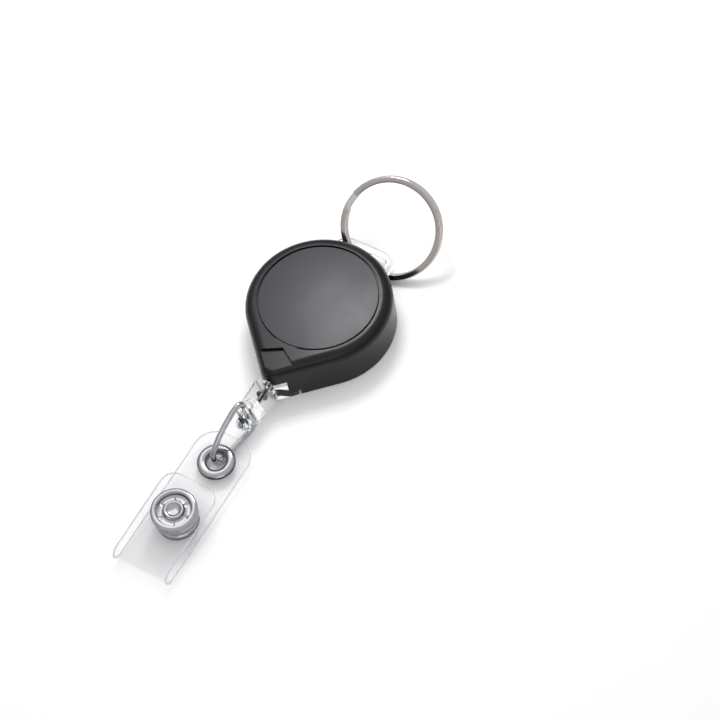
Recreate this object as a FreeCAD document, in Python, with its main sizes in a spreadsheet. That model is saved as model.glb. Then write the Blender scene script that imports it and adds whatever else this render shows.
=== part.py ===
# Retractable badge reel: teardrop reel case with a clear back plate and bail, split ring, spring-driven
# cord spool, clear cord end fitting with a steel wire loop, and a snap strap of clear vinyl.
# Frame: millimetres, +Z up out of the face, the cord leaves towards -Y, the bail is at +Y.
# Origin: on the back face, on the spool's axis.
import FreeCAD, Part
import math
import os

doc = FreeCAD.newDocument("BadgeReel")
sheet = doc.addObject("Spreadsheet::Sheet", "Sizes")

sizes = [
    # case
    ("caseRadius", 16.5), ("caseHeight", 10.9), ("caseWall", 1.2), ("caseLift", 0.25),
    ("noseRadius", 2.9), ("shoulderRadius", 2.3), ("roofThick", 1.7), ("fitGap", 0.05),
    ("labelInset", 3.0), ("labelThick", 0.25), ("labelGap", 0.03), ("grooveWidth", 0.35), ("grooveDepth", 0.45),
    ("thumbRim", 0.9), ("thumbTip", 0.9), ("thumbHalf", 4.3), ("thumbRise", 2.6), ("thumbReach", 3.4),
    ("thumbDepth", 0.7), ("noseGateHalf", 3.5), ("noseRoof", 0.9), ("noseFootHalf", 5.4), ("noseFootTop", 1.9),
    ("noseBlockDepth", 3.7), ("guideRoom", 0.7), ("ringGateHalf", 8.6), ("ringGateTop", 5.5), ("bossWall", 1.2), ("bossLift", 0.3),
    # back plate and bail
    ("plateThick", 1.4), ("postRadius", 2.0), ("postRoom", 0.8), ("chamberInset", 2.6),
    ("chamberWall", 0.7), ("chamberTop", 5.6), ("bailHalf", 7.6), ("bailOut", 4.4), ("bailFloor", 2.6),
    ("bailThick", 1.6), ("bailCorner", 3.8), ("bailEdge", 0.6), ("slotHalf", 6.1), ("bailBar", 1.75), ("slotCorner", 1.0),
    # spool, spring and cord
    ("spoolRoom", 0.6), ("spoolFloor", 1.7), ("flangeThick", 0.8), ("spoolHeadroom", 2.0), ("drumRadius", 9.6),
    ("pocketWall", 0.9), ("windingInset", 0.7), ("windingGap", 0.02), ("shaftGap", 0.06), ("springStrip", 0.22),
    ("springTurns", 8.0), ("coverThick", 0.5), ("cordDiameter", 1.0), ("cordHeight", 5.4), ("cordGap", 0.15),
    # end fitting, knot and wire loop
    ("fitClear", 0.4167), ("barrelOut", 8.0), ("barrelWall", 1.35), ("barrelHeight", 6.2), ("barrelRound", 1.3),
    ("yokeHalf", 2.3), ("yokeHeight", 5.2), ("yokeRound", 0.7), ("windowHalf", 1.55), ("windowOut", 1.0),
    ("windowLength", 4.2), ("nubRadius", 1.6), ("nubOut", 2.2), ("fitRoll", 15.0), ("knotRadius", 1.35),
    ("knotOut", 1.5), ("tailLength", 1.5), ("wireDiameter", 1.3), ("wireGap", 0.05), ("wireTop", 4.7),
    ("wireBottom", 4.2), ("wireCorner", 0.9), ("wireReach", 10.5), ("wireTipTop", -0.6), ("wireTipRadius", 1.7),
    ("wireSwing", 12.0),
    # strap
    ("strapX", -1.3), ("strapWidth", 13.6), ("strapThick", 0.5), ("strapSeat", 1.25), ("strapTilt", 2.6),
    ("strapNear", 6.9), ("strapEndRadius", 5.0), ("foldOut", 12.4), ("foldRadius", 1.75), ("flapBack", 8.2),
    ("flapCorner", 3.2), ("eyeletOut", 1.4), ("eyeletRoom", 1.5), ("eyeletTube", 0.35), ("eyeletRim", 1.75),
    ("eyeletCrown", 0.6), ("washerThick", 0.35), ("rivetGap", 0.02), ("snapOut", 15.7), ("snapRadius", 5.2),
    ("studRadius", 4.7), ("studHead", 1.9), ("socketRadius", 5.0), ("snapPost", 1.5), ("snapCrown", 0.9),
    ("snapSeat", 0.7),
    # split ring
    ("ringRadius", 11.15), ("ringWidth", 1.5), ("ringCoil", 0.95), ("ringEdge", 0.22), ("ringX", 4.3), ("ringOut", 3.4),
    ("ringZ", 9.0), ("ringTilt", 44.8), ("ringYaw", 11.7),
]
# places and sizes that follow from the ones above, so that neighbours keep meeting
followers = [
    ("labelRadius", "caseRadius - labelInset"), ("noseGateTop", "cordHeight + noseRoof"),
    ("chamberRadius", "caseRadius - chamberInset"), ("spoolRadius", "chamberRadius - spoolRoom"),
    ("windingRadius", "spoolRadius - windingInset"), ("springPocket", "drumRadius - pocketWall"),
    ("spoolTop", "caseHeight - roofThick - spoolHeadroom"), ("postTop", "caseHeight - roofThick - postRoom"),
    ("bailReach", "caseRadius + bailOut"), ("slotReach", "bailReach - bailBar"), ("ringY", "bailReach + ringOut"),
    ("noseOut", "caseRadius * sqrt(2) - noseRadius * (sqrt(2) - 1) - 3 * fitGap"),
    ("fitStart", "noseOut + fitClear"), ("windowStart", "fitStart + windowOut"),
    ("windowEnd", "windowStart + windowLength"), ("knotY", "windowStart + knotOut"),
    ("barrelY", "fitStart + barrelOut"), ("barrelRadius", "wireDiameter / 2 + barrelWall"),
    ("nubY", "barrelY + nubOut"), ("eyeletY", "barrelY + wireReach + eyeletOut"),
    ("eyeletBore", "wireDiameter / 2 + eyeletRoom"), ("eyeletFlange", "eyeletBore + eyeletTube + eyeletRim"),
    ("strapFloor", "wireDiameter / 2 + strapSeat"), ("strapStart", "eyeletY - strapNear"),
    ("snapY", "eyeletY + snapOut"), ("flapEnd", "snapY - flapBack"), ("foldY", "snapY + foldOut"),
]
for row, (name, value) in enumerate(sizes + [(name, "=" + formula) for name, formula in followers], start=1):
    sheet.set(f"A{row}", name)
    sheet.set(f"B{row}", str(value))
    sheet.setAlias(f"B{row}", name)
    if str(value).startswith("="):
        doc.recompute()
doc.recompute()


def size(name):
    return float(sheet.get(name))


def bind(obj, **expressions):
    for prop, text in expressions.items():
        obj.setExpression(prop.replace("_", "."), text)
    return obj


def sized(text):
    """The expression text with every size's name pointed at the sheet."""
    words = []
    word = ""
    for mark in text + " ":
        if mark.isalnum():
            word += mark
            continue
        words.append(f"Sizes.{word}" if word in names else word)
        words.append(mark)
        word = ""
    return "".join(words).strip()


names = {name for name, value in sizes + followers}


def place(obj, x="0", y="0", z="0"):
    for axis, text in (("x", x), ("y", y), ("z", z)):
        obj.setExpression(f".Placement.Base.{axis}", sized(text))
    return obj


def cylinder(name, radius, height, x="0", y="0", z="0", axis=None):
    obj = doc.addObject("Part::Cylinder", name)
    if axis:
        obj.Placement = FreeCAD.Placement(FreeCAD.Vector(), FreeCAD.Rotation(FreeCAD.Vector(0, 0, 1), axis))
    bind(obj, Radius=sized(radius), Height=sized(height))
    return place(obj, x, y, z)


def cone(name, low, high, height, x="0", y="0", z="0"):
    obj = doc.addObject("Part::Cone", name)
    bind(obj, Radius1=sized(low), Radius2=sized(high), Height=sized(height))
    return place(obj, x, y, z)


def box(name, length, width, height, x="0", y="0", z="0"):
    obj = doc.addObject("Part::Box", name)
    bind(obj, Length=sized(length), Width=sized(width), Height=sized(height))
    return place(obj, x, y, z)


def fuse(name, *pieces):
    obj = doc.addObject("Part::MultiFuse", name)
    obj.Shapes = list(pieces)
    obj.Refine = True
    return obj


def common(name, *pieces):
    obj = doc.addObject("Part::MultiCommon", name)
    obj.Shapes = list(pieces)
    return obj


def cut(name, base, *tools):
    tool = tools[0]
    if len(tools) > 1:
        tool = fuse(name + "Tools", *tools)
    obj = doc.addObject("Part::Cut", name)
    obj.Base = base
    obj.Tool = tool
    obj.Refine = True
    return obj


def rounded(name, base, radius, chooses):
    """A fillet on the edges of base that chooses(edge) picks."""
    doc.recompute()
    picked = [i for i, edge in enumerate(base.Shape.Edges, start=1) if chooses(edge)]
    if not picked:
        raise RuntimeError(f"{name}: no edge to round")
    obj = doc.addObject("Part::Fillet", name)
    obj.Base = base
    obj.Edges = [(i, radius, radius) for i in picked]
    doc.recompute()
    return obj


def solid(name, shape, placement=None):
    """A Part::Feature for a shape that primitives don't make."""
    obj = doc.addObject("Part::Feature", name)
    obj.Shape = shape
    if placement:
        obj.Placement = placement
    return obj


def upright(edge):
    first, last = edge.Vertexes[0].Point, edge.Vertexes[-1].Point
    return abs(first.x - last.x) + abs(first.y - last.y) < 1e-6 and abs(first.z - last.z) > 1e-3


def level(z):
    return lambda edge: all(abs(vertex.Z - z) < 1e-4 for vertex in edge.Vertexes)


def teardrop(name, inset, z, height, nose):
    """Round drum with a square set corner-out, so that its two sides run tangent into the nose."""
    drum = cylinder(name + "Drum", f"caseRadius - {inset}", height, z=z)
    wedge = box(name + "Wedge", f"caseRadius - {inset}", f"caseRadius - {inset}", height)
    wedge.Placement = FreeCAD.Placement(FreeCAD.Vector(), FreeCAD.Rotation(FreeCAD.Vector(0, 0, 1), -135))
    place(wedge, z=z)
    whole = fuse(name + "Blank", drum, wedge)
    doc.recompute()
    tip = min(vertex.Y for vertex in whole.Shape.Vertexes)
    return rounded(name, whole, nose,
                   lambda edge: upright(edge) and abs(edge.Vertexes[0].Y - tip) < 1e-3)


def revolved(name, profile, x=0.0, y=0.0, z=0.0):
    """A turned piece: profile is (radius, height) points round a closed outline."""
    points = [FreeCAD.Vector(r, 0, h) for r, h in profile]
    face = Part.Face(Part.makePolygon(points + points[:1]))
    shape = face.revolve(FreeCAD.Vector(), FreeCAD.Vector(0, 0, 1), 360)
    return solid(name, shape, FreeCAD.Placement(FreeCAD.Vector(x, y, z), FreeCAD.Rotation()))


# ---- front case: shell, shoulder, label recess, groove, thumb recess, nose gate and ring gate
outer = teardrop("CaseOuter", "0", "caseLift", "caseHeight - caseLift", size("noseRadius"))
shouldered = rounded("CaseShoulder", outer, size("shoulderRadius"), level(size("caseHeight")))
inner = teardrop("CaseInner", "caseWall", "caseLift - 1", "caseHeight - roofThick - caseLift + 1",
                 size("noseRadius") - size("caseWall"))
labelBed = cylinder("LabelBed", "labelRadius + grooveWidth * 0.3", "labelThick + 1", z="caseHeight - labelThick")
grooveOuter = cylinder("GrooveOuter", "labelRadius + grooveWidth", "grooveDepth + 1", z="caseHeight - grooveDepth")
grooveInner = cylinder("GrooveInner", "labelRadius", "grooveDepth + 2", z="caseHeight - grooveDepth - 0.5")
grooveStop = box("GrooveStop", "noseFootHalf", "caseRadius", "3", x="-noseFootHalf / 2", y="-caseRadius * 1.5",
                 z="caseHeight - 2")
groove = cut("Groove", grooveOuter, grooveInner, grooveStop)


def thumbRecess():
    """A kite-shaped pocket in the nose: two far edges at a shallow angle, the near ones beside the rim."""
    top = size("labelRadius") + size("grooveWidth") + size("thumbRim")
    side = top + size("thumbRise")
    tip = side + size("thumbReach")
    half = size("thumbHalf")
    narrow = size("thumbTip")
    points = [(0, -top), (half, -side), (narrow, -tip), (-narrow, -tip), (-half, -side)]
    corners = [FreeCAD.Vector(x, y, size("caseHeight") - size("thumbDepth")) for x, y in points]
    face = Part.Face(Part.makePolygon(corners + corners[:1]))
    return solid("ThumbRecess", face.extrude(FreeCAD.Vector(0, 0, 3)))


noseGate = box("NoseGate", "2 * noseGateHalf", "caseRadius", "noseGateTop + 1", x="-noseGateHalf",
               y="-caseRadius * 2", z="-1")
noseFoot = box("NoseFoot", "2 * noseFootHalf", "caseRadius", "noseFootTop + 1", x="-noseFootHalf",
               y="-caseRadius * 2", z="-1")
ringGate = box("RingGate", "2 * ringGateHalf", "caseRadius", "ringGateTop + 1", x="-ringGateHalf",
               y="caseRadius * 0.6", z="-1")
boss = cylinder("CaseBoss", "postRadius + bossWall", "caseHeight - roofThick - spoolTop - bossLift",
                z="spoolTop + bossLift")
bossBore = cylinder("BossBore", "postRadius + fitGap", "postTop - spoolTop + 0.1", z="spoolTop")
shell = cut("CaseShell", shouldered, inner, labelBed, groove, thumbRecess(), noseGate, noseFoot, ringGate)
frontCase = cut("FrontCase", fuse("CaseWithBoss", shell, boss), bossBore)

faceLabel = cylinder("FaceLabel", "labelRadius", "labelThick - labelGap", z="caseHeight - labelThick")

# ---- back plate: base, post, chamber wall, bail and nose block, one clear moulding
base = teardrop("PlateBase", "(caseWall + fitGap)", "0", "plateThick",
                size("noseRadius") - size("caseWall") - size("fitGap"))
post = cylinder("Post", "postRadius", "postTop", z="0")
springSlot = box("SpringSlot", "2 * postRadius", "springStrip + 0.2", "spoolTop", x="0",
                 y="-springStrip / 2 - 0.1", z="spoolFloor + flangeThick")
chamber = cut("ChamberWall",
              cylinder("ChamberOuter", "chamberRadius + chamberWall", "chamberTop - 1", z="1"),
              cylinder("ChamberInner", "chamberRadius", "chamberTop", z="0.5"),
              box("ChamberDoor", "2 * chamberRadius", "chamberRadius", "chamberTop", x="-chamberRadius / 2",
                  y="-chamberRadius * 1.5", z="plateThick"))
noseBlank = teardrop("NoseBlank", "fitGap * 3", "0", "noseGateTop - 0.1", size("noseRadius") - 3 * size("fitGap"))
noseHigh = box("NoseHigh", "2 * noseGateHalf - 2 * fitGap", "noseBlockDepth + noseRadius", "noseGateTop",
               x="-noseGateHalf + fitGap", y="-noseOut - noseRadius")
noseLow = box("NoseLow", "2 * noseFootHalf - 2 * fitGap", "noseBlockDepth + noseRadius", "noseFootTop - fitGap",
              x="-noseFootHalf + fitGap", y="-noseOut - noseRadius")
noseBlock = common("NoseBlock", noseBlank, fuse("NoseShape", noseHigh, noseLow))
cordBore = cylinder("CordBore", "cordDiameter / 2 + cordGap", "caseRadius", y="-noseOut + noseBlockDepth + guideRoom * 6", z="cordHeight",
                    axis=FreeCAD.Vector(0, -1, 0))


def bailBlank(name, half, reach, corner, low, thick):
    """A tab with round outer corners, from inside the chamber wall to its reach."""
    tab = box(name + "Tab", f"2 * {half}", f"{reach} - chamberRadius * 0.6", thick, x=f"-{half}",
              y="chamberRadius * 0.6", z=low)
    doc.recompute()
    far = size(reach)
    return rounded(name, tab, size(corner), lambda edge: upright(edge) and edge.Vertexes[0].Y > far - 0.01)


bailTab = bailBlank("Bail", "bailHalf", "bailReach", "bailCorner", "bailFloor", "bailThick")
bailRound = rounded("BailRound", bailTab, size("bailEdge"),
                    lambda edge: not upright(edge) and edge.BoundBox.YMax > size("chamberRadius") + 2)
bailSlot = bailBlank("BailSlot", "slotHalf", "slotReach", "slotCorner", "0", "ringGateTop")
bailHollow = cylinder("BailHollow", "chamberRadius + chamberWall / 2", "chamberTop", z="0.5")
bail = cut("BailLoop", bailRound, bailSlot, bailHollow)
# the plate is cut back to the chamber wall where the split ring swings past it
ringRelief = cut("RingRelief",
                 box("ReliefBox", "2 * ringGateHalf", "caseRadius", "plateThick + 1", x="-ringGateHalf",
                     y="caseRadius * 0.6", z="-0.5"),
                 cylinder("ReliefKeep", "chamberRadius + chamberWall", "plateThick + 3", z="-1"))
plateWhole = fuse("PlateWhole", cut("PlateCutBack", base, ringRelief), post, chamber, noseBlock, bail)
backPlate = cut("BackPlate", plateWhole, springSlot, cordBore)

# ---- spool with its drum, flanges and spring pocket
lowFlange = cylinder("LowFlange", "spoolRadius", "flangeThick", z="spoolFloor")
drum = cylinder("Drum", "drumRadius", "spoolTop - spoolFloor", z="spoolFloor")
topFlange = cylinder("TopFlange", "spoolRadius", "flangeThick", z="spoolTop - flangeThick")
pocket = cylinder("SpringPocket", "springPocket", "spoolTop", z="spoolFloor + flangeThick")
spoolBore = cylinder("SpoolBore", "postRadius + shaftGap", "spoolTop", z="0")
spool = cut("Spool", fuse("SpoolBlank", lowFlange, drum, topFlange), pocket, spoolBore)

springCover = cut("SpringCover",
                  cylinder("CoverDisc", "springPocket - fitGap", "coverThick", z="spoolTop - coverThick"),
                  cylinder("CoverBore", "postRadius + shaftGap", "spoolTop", z="1"))


def springShape():
    """A flat spiral strip: radius grows evenly with the angle, from the post to the pocket's wall."""
    strip = size("springStrip")
    inner = size("postRadius") + 0.5
    outer = size("springPocket") - 0.3
    turns = size("springTurns")
    low = size("spoolFloor") + size("flangeThick") + 0.15
    high = size("spoolTop") - size("coverThick") - 0.15

    def edge(offset):
        points = []
        for i in range(int(turns * 16) + 1):
            angle = 2 * math.pi * i / 16
            radius = inner + (outer - inner) * i / (turns * 16) + offset
            points.append(FreeCAD.Vector(radius * math.cos(angle), radius * math.sin(angle), low))
        curve = Part.BSplineCurve()
        curve.interpolate(points)
        return curve.toShape(), points[0], points[-1]

    inside, insideStart, insideEnd = edge(0)
    outside, outsideStart, outsideEnd = edge(strip)
    wire = Part.Wire(Part.__sortEdges__([inside, Part.makeLine(insideEnd, outsideEnd), outside,
                                         Part.makeLine(outsideStart, insideStart)]))
    return Part.Face(wire).extrude(FreeCAD.Vector(0, 0, high - low))


powerSpring = solid("PowerSpring", springShape())

cordWinding = cut("CordWinding",
                  cylinder("WindingOuter", "windingRadius", "spoolTop - spoolFloor - 2 * flangeThick - 2 * windingGap",
                           z="spoolFloor + flangeThick + windingGap"),
                  cylinder("WindingInner", "drumRadius + windingGap", "spoolTop", z="0"))

# ---- cord: from the winding to the nose inside the case, and the short lead outside it
cordRadius = size("cordDiameter") / 2
cordZ = size("cordHeight")
noseOut = size("noseOut")
guideY = -noseOut + size("noseBlockDepth") + size("guideRoom")


def cordPath():
    """Straight off the winding, a tangent to it, then straight out through the nose."""
    around = size("windingRadius") + cordRadius + 0.1
    turn = math.acos(around / -guideY)
    start = FreeCAD.Vector(around * math.sin(turn), -around * math.cos(turn), cordZ)
    bend = FreeCAD.Vector(0, guideY, cordZ)
    out = FreeCAD.Vector(0, -noseOut, cordZ)
    first = Part.makeCylinder(cordRadius, (bend - start).Length, start, bend - start)
    last = Part.makeCylinder(cordRadius, (out - bend).Length, bend, out - bend)
    return first.fuse([last, Part.makeSphere(cordRadius, bend)]).removeSplitter()


cordRun = solid("CordRun", cordPath())
cordLead = cylinder("CordLead", "cordDiameter / 2", "1", z="cordHeight", axis=FreeCAD.Vector(0, -1, 0))
cordLead.setExpression("Height", "Sizes.knotY - Sizes.knotRadius * 0.8 - Sizes.noseOut")
cordLead.setExpression(".Placement.Base.y", "-Sizes.noseOut")


def knotShape():
    """Two round bights side by side and a short tail, all about the cord's own line."""
    knot = size("knotRadius")
    middle = size("knotY")
    half = knot * 0.8
    centre = FreeCAD.Vector(0, -middle, cordZ)
    ball = Part.makeSphere(knot, centre)
    keep = Part.makeBox(4 * knot, 2 * half, 4 * knot,
                        FreeCAD.Vector(-2 * knot, -middle - half, cordZ - 2 * knot))
    tail = Part.makeCylinder(cordRadius, size("tailLength") + 0.3, FreeCAD.Vector(0, -middle - half + 0.3, cordZ),
                             FreeCAD.Vector(0, -1, 0))
    return ball.common(keep).fuse(tail).removeSplitter()


cordKnot = solid("CordKnot", knotShape())


# ---- end fitting: bridge, two side walls, cross barrel and nub, turned by its roll about the cord
def fittingShape():
    half, tall = size("yokeHalf"), size("yokeHeight") / 2
    start, barrelAt, radius = size("fitStart"), size("barrelY"), size("barrelRadius")
    barrel = size("barrelHeight") / 2
    sides = [FreeCAD.Vector(-half, -start, -tall), FreeCAD.Vector(-half, -start, tall),
             FreeCAD.Vector(-half, -barrelAt, barrel * 0.75), FreeCAD.Vector(-half, -barrelAt, -barrel * 0.75)]
    body = Part.Face(Part.makePolygon(sides + sides[:1])).extrude(FreeCAD.Vector(2 * half, 0, 0))
    edges = [edge for edge in body.Edges if abs(edge.CenterOfMass.x) > half - 1e-3
             and edge.CenterOfMass.y > -barrelAt + 1e-3]
    body = body.makeFillet(size("yokeRound"), edges)
    post = Part.makeCylinder(radius, 2 * barrel, FreeCAD.Vector(0, -barrelAt, -barrel), FreeCAD.Vector(0, 0, 1))
    post = post.makeFillet(size("barrelRound"), [edge for edge in post.Edges if edge.Closed])
    body = body.fuse([
        post,
        Part.makeCylinder(size("nubRadius"), size("nubY") - barrelAt, FreeCAD.Vector(0, -barrelAt, 0),
                          FreeCAD.Vector(0, -1, 0)),
        Part.makeSphere(size("nubRadius"), FreeCAD.Vector(0, -size("nubY"), 0))])
    window = Part.makeBox(2 * size("windowHalf"), size("windowEnd") - size("windowStart"), 6 * tall,
                          FreeCAD.Vector(-size("windowHalf"), -size("windowEnd"), -3 * tall))
    cordHole = Part.makeCylinder(cordRadius + size("cordGap"), 4, FreeCAD.Vector(0, -start + 1, 0),
                                 FreeCAD.Vector(0, -1, 0))
    wireHole = Part.makeCylinder(size("wireDiameter") / 2 + size("wireGap"), 4 * barrel,
                                 FreeCAD.Vector(0, -barrelAt, -2 * barrel), FreeCAD.Vector(0, 0, 1))
    return body.cut([window, cordHole, wireHole]).removeSplitter()


roll = FreeCAD.Rotation(FreeCAD.Vector(0, 1, 0), -size("fitRoll"))
endFitting = solid("EndFitting", fittingShape(), FreeCAD.Placement(FreeCAD.Vector(0, 0, cordZ), roll))


def wireSolid():
    """The loop as straight runs and tangent arcs through five corner points."""
    reach, bend = size("wireReach") + size("wireTipRadius"), size("wireCorner")
    top, bottom = size("wireTop"), -size("wireBottom")
    corners = [((0, top), bend), ((reach, size("wireTipTop")), size("wireTipRadius")),
               ((reach, bottom), bend), ((0, bottom), bend)]
    points = [FreeCAD.Vector(0, -a, b) for (a, b), r in corners]
    edges = []
    previous = FreeCAD.Vector(0, 0, 0)
    for i, (corner, radius) in enumerate(zip(points, [r for p, r in corners])):
        after = points[i + 1] if i + 1 < len(points) else FreeCAD.Vector(0, 0, 0)
        inward = (previous - corner).normalize()
        onward = (after - corner).normalize()
        halfTurn = inward.getAngle(onward) / 2
        run = radius / math.tan(halfTurn)
        begin, end = corner + inward * run, corner + onward * run
        centre = corner + (inward + onward).normalize() * (radius / math.sin(halfTurn))
        middle = centre + (corner - centre).normalize() * radius
        edges.append(Part.LineSegment(previous, begin).toShape())
        edges.append(Part.Arc(begin, middle, end).toShape())
        previous = end
    edges.append(Part.LineSegment(previous, FreeCAD.Vector(0, 0, 0)).toShape())
    path = Part.Wire(edges)
    ring = Part.Wire(Part.makeCircle(size("wireDiameter") / 2, FreeCAD.Vector(0, 0, 0), FreeCAD.Vector(0, 0, 1)))
    return path.makePipeShell([ring], True, False)


swing = FreeCAD.Rotation(FreeCAD.Vector(0, 0, 1), -size("wireSwing"))
barrelAt = roll.multVec(FreeCAD.Vector(0, -size("barrelY"), 0)) + FreeCAD.Vector(0, 0, cordZ)
wireLoop = solid("WireLoop", wireSolid(), FreeCAD.Placement(barrelAt, roll.multiply(swing)))

# ---- strap: flat tail with a round end, the fold, and the flap with the snap
strapTop = "(strapFloor + strapThick)"
flapFloor = "(strapFloor + strapThick + 2 * foldRadius)"
halfX = "strapX - strapWidth / 2"


def strapSheet(name, start, end, floor, corner, bores):
    """A flat length of the strip, from start to end along -Y, with round corners at its free end."""
    sheetBox = box(name + "Sheet", "strapWidth", f"{end} - {start}", "strapThick", x=halfX, y=f"-{end}", z=floor)
    doc.recompute()
    free = -size(start)
    trimmed = rounded(name + "Trim", sheetBox, size(corner),
                      lambda edge: upright(edge) and edge.Vertexes[0].Y > free - 0.01)
    return cut(name, trimmed, *bores)


def strapBore(name, radius, y, z="0"):
    return cylinder(name, radius, "strapThick * 20", x="strapX", y=f"-{y}", z=z)


strapMain = strapSheet("StrapMain", "strapStart", "foldY", "strapFloor", "strapEndRadius",
                       [strapBore("EyeletHole", "eyeletBore + eyeletTube + rivetGap", "eyeletY"),
                        strapBore("StudHole", "snapPost + rivetGap", "snapY")])
strapFlap = strapSheet("StrapFlap", "flapEnd", "foldY", flapFloor, "flapCorner",
                       [strapBore("CapHole", "snapPost + rivetGap", "snapY", z="strapFloor + strapThick")])
foldTurn = FreeCAD.Vector(1, 0, 0)
foldOuter = cylinder("FoldOuter", "foldRadius + strapThick", "strapWidth", x=halfX, y="-foldY",
                     z="strapFloor + strapThick + foldRadius", axis=foldTurn)
foldInner = cylinder("FoldInner", "foldRadius", "strapWidth + 2", x=f"{halfX} - 1", y="-foldY",
                     z="strapFloor + strapThick + foldRadius", axis=foldTurn)
foldHalf = box("FoldHalf", "strapWidth + 2", "foldRadius * 3", "foldRadius * 6", x=f"{halfX} - 1", y="-foldY",
               z="0")
strapFold = cut("StrapFold", foldOuter, foldInner, foldHalf)

# ---- eyelet: crown with its tube, and the washer under the strap
eyeletX, eyeletAt = size("strapX"), -size("eyeletY")
bore, tube = size("eyeletBore"), size("eyeletTube")
flange, crown, washer = size("eyeletFlange"), size("eyeletCrown"), size("washerThick")
strapLow, strapHigh = size("strapFloor"), size("strapFloor") + size("strapThick")
eyelet = revolved("Eyelet", [(bore, strapLow - washer - 0.1), (bore + tube, strapLow - washer - 0.1),
                             (bore + tube, strapHigh), (flange, strapHigh), (flange, strapHigh + crown * 0.4),
                             (flange - 0.7, strapHigh + crown), (bore + 0.6, strapHigh + crown),
                             (bore, strapHigh + crown * 0.5)], eyeletX, eyeletAt)
eyeletWasher = revolved("EyeletWasher", [(bore + tube + size("rivetGap"), strapLow - washer), (flange - 0.4, strapLow - washer),
                                         (flange, strapLow), (bore + tube + size("rivetGap"), strapLow)], eyeletX, eyeletAt)

# ---- snap: post and stud on the strap, socket and cap on the flap
snapAt = -size("snapY")
postOuter, seat = size("snapPost"), size("snapSeat")
flapLow = strapHigh + 2 * size("foldRadius")
flapHigh = flapLow + size("strapThick")
studRadius, socketRadius, capRadius = size("studRadius"), size("socketRadius"), size("snapRadius")
socketLow = strapHigh + seat + 0.75
snapPost = revolved("SnapPost", [(0, strapLow - seat), (studRadius - 0.6, strapLow - seat), (studRadius, strapLow - 0.25),
                                 (studRadius, strapLow), (postOuter, strapLow), (postOuter, strapHigh + seat),
                                 (0, strapHigh + seat)], eyeletX, snapAt)
studHead, rivetGap = size("studHead"), size("rivetGap")
snapStud = revolved("SnapStud", [(postOuter + rivetGap, strapHigh), (studRadius, strapHigh), (studRadius, strapHigh + 0.35),
                                 (studRadius - 0.5, strapHigh + seat), (studHead + 0.2, strapHigh + seat),
                                 (studHead, strapHigh + 1.1), (studHead + 0.15, strapHigh + 1.9),
                                 (studHead - 0.5, strapHigh + 2.3), (0, strapHigh + 2.3), (0, strapHigh + seat + rivetGap),
                                 (postOuter + rivetGap, strapHigh + seat + rivetGap)], eyeletX, snapAt)
snapSocket = revolved("SnapSocket", [(studHead + 0.2, socketLow), (socketRadius - 0.3, socketLow),
                                     (socketRadius, socketLow + 0.3), (socketRadius - 0.35, socketLow + 0.75),
                                     (socketRadius, socketLow + 1.2), (socketRadius - 0.25, flapLow),
                                     (postOuter + 0.04, flapLow), (postOuter + 0.04, socketLow + 1.7),
                                     (studHead + 0.2, socketLow + 1.5)], eyeletX, snapAt)
crownHigh = size("snapCrown")
snapCap = revolved("SnapCap", [(0, flapLow - 0.35), (postOuter, flapLow - 0.35), (postOuter, flapHigh),
                               (capRadius, flapHigh), (capRadius, flapHigh + crownHigh * 0.55),
                               (capRadius - 0.45, flapHigh + crownHigh), (capRadius - 1.2, flapHigh + crownHigh),
                               (capRadius - 1.6, flapHigh + 0.3), (2.35, flapHigh + 0.3), (2.2, flapHigh + crownHigh * 0.9),
                               (1.5, flapHigh + crownHigh * 0.9), (1.2, flapHigh + 0.45), (0, flapHigh + 0.45)],
                   eyeletX, snapAt)


# ---- split ring: two coils pressed together, threaded through the bail
def ringShape():
    inner = size("ringRadius") - size("ringWidth") / 2
    outer = size("ringRadius") + size("ringWidth") / 2
    coil, edge = size("ringCoil"), size("ringEdge")
    profile = [(inner + edge, -coil), (outer - edge, -coil), (outer, -coil + edge), (outer, -edge / 2),
               (outer - edge / 2, 0), (outer, edge / 2), (outer, coil - edge), (outer - edge, coil),
               (inner + edge, coil), (inner, coil - edge), (inner, edge / 2), (inner + edge / 2, 0),
               (inner, -edge / 2), (inner, -coil + edge)]
    points = [FreeCAD.Vector(r, 0, h) for r, h in profile]
    face = Part.Face(Part.makePolygon(points + points[:1]))
    return face.revolve(FreeCAD.Vector(), FreeCAD.Vector(0, 0, 1), 360)


ringTurn = FreeCAD.Rotation(FreeCAD.Vector(0, 0, 1), size("ringYaw")).multiply(
    FreeCAD.Rotation(FreeCAD.Vector(1, 0, 0), size("ringTilt")))
splitRing = solid("SplitRing", ringShape(),
                  FreeCAD.Placement(FreeCAD.Vector(size("ringX"), size("ringY"), size("ringZ")), ringTurn))

doc.recompute()

# the strap's near end rides up over the wire loop, so the whole strap leans down towards its fold
lean = FreeCAD.Placement(FreeCAD.Vector(), FreeCAD.Rotation(FreeCAD.Vector(1, 0, 0), size("strapTilt")),
                         FreeCAD.Vector(0, -size("eyeletY"), size("strapFloor")))
for leaning in (strapMain, strapFold, strapFlap, eyelet, eyeletWasher, snapPost, snapStud, snapSocket, snapCap):
    leaning.Placement = lean.multiply(leaning.Placement)
doc.recompute()

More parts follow.
